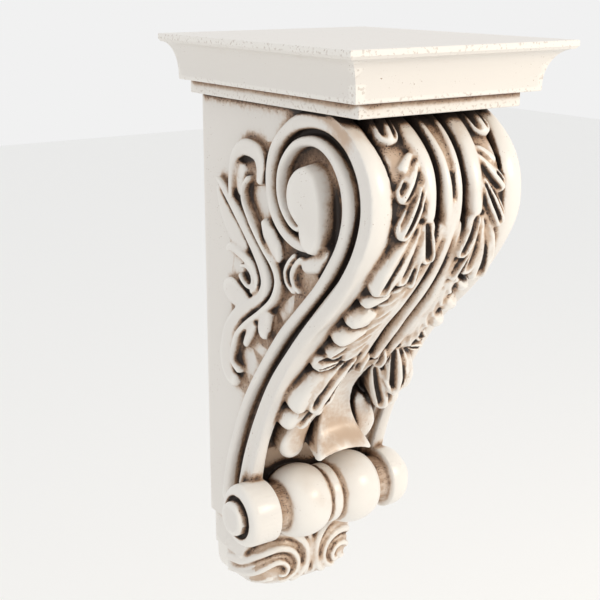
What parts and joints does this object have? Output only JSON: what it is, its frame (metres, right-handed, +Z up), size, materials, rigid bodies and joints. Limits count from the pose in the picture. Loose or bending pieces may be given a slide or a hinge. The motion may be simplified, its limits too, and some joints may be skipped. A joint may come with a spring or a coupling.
{
  "type": "wall corbel",
  "caption": "Scrolled wall corbel with a square coved cap, acanthus front, side volutes, a turned roll and a leaf drop at the foot, moulded in one piece.",
  "frame": {"origin": "middle of the flat back face that goes against the wall, at half the height", "axes": "+Z up, +Y into the wall, -Y out into the room, +X to the right seen from the room"},
  "size_m": [0.17, 0.2113, 0.4055],
  "materials": {
    "cream_paint": "satin cream paint with a brown antiquing glaze in the recesses"
  },
  "bodies": {
    "root": {"corbel": "cream_paint"}
  },
  "joints": []
}
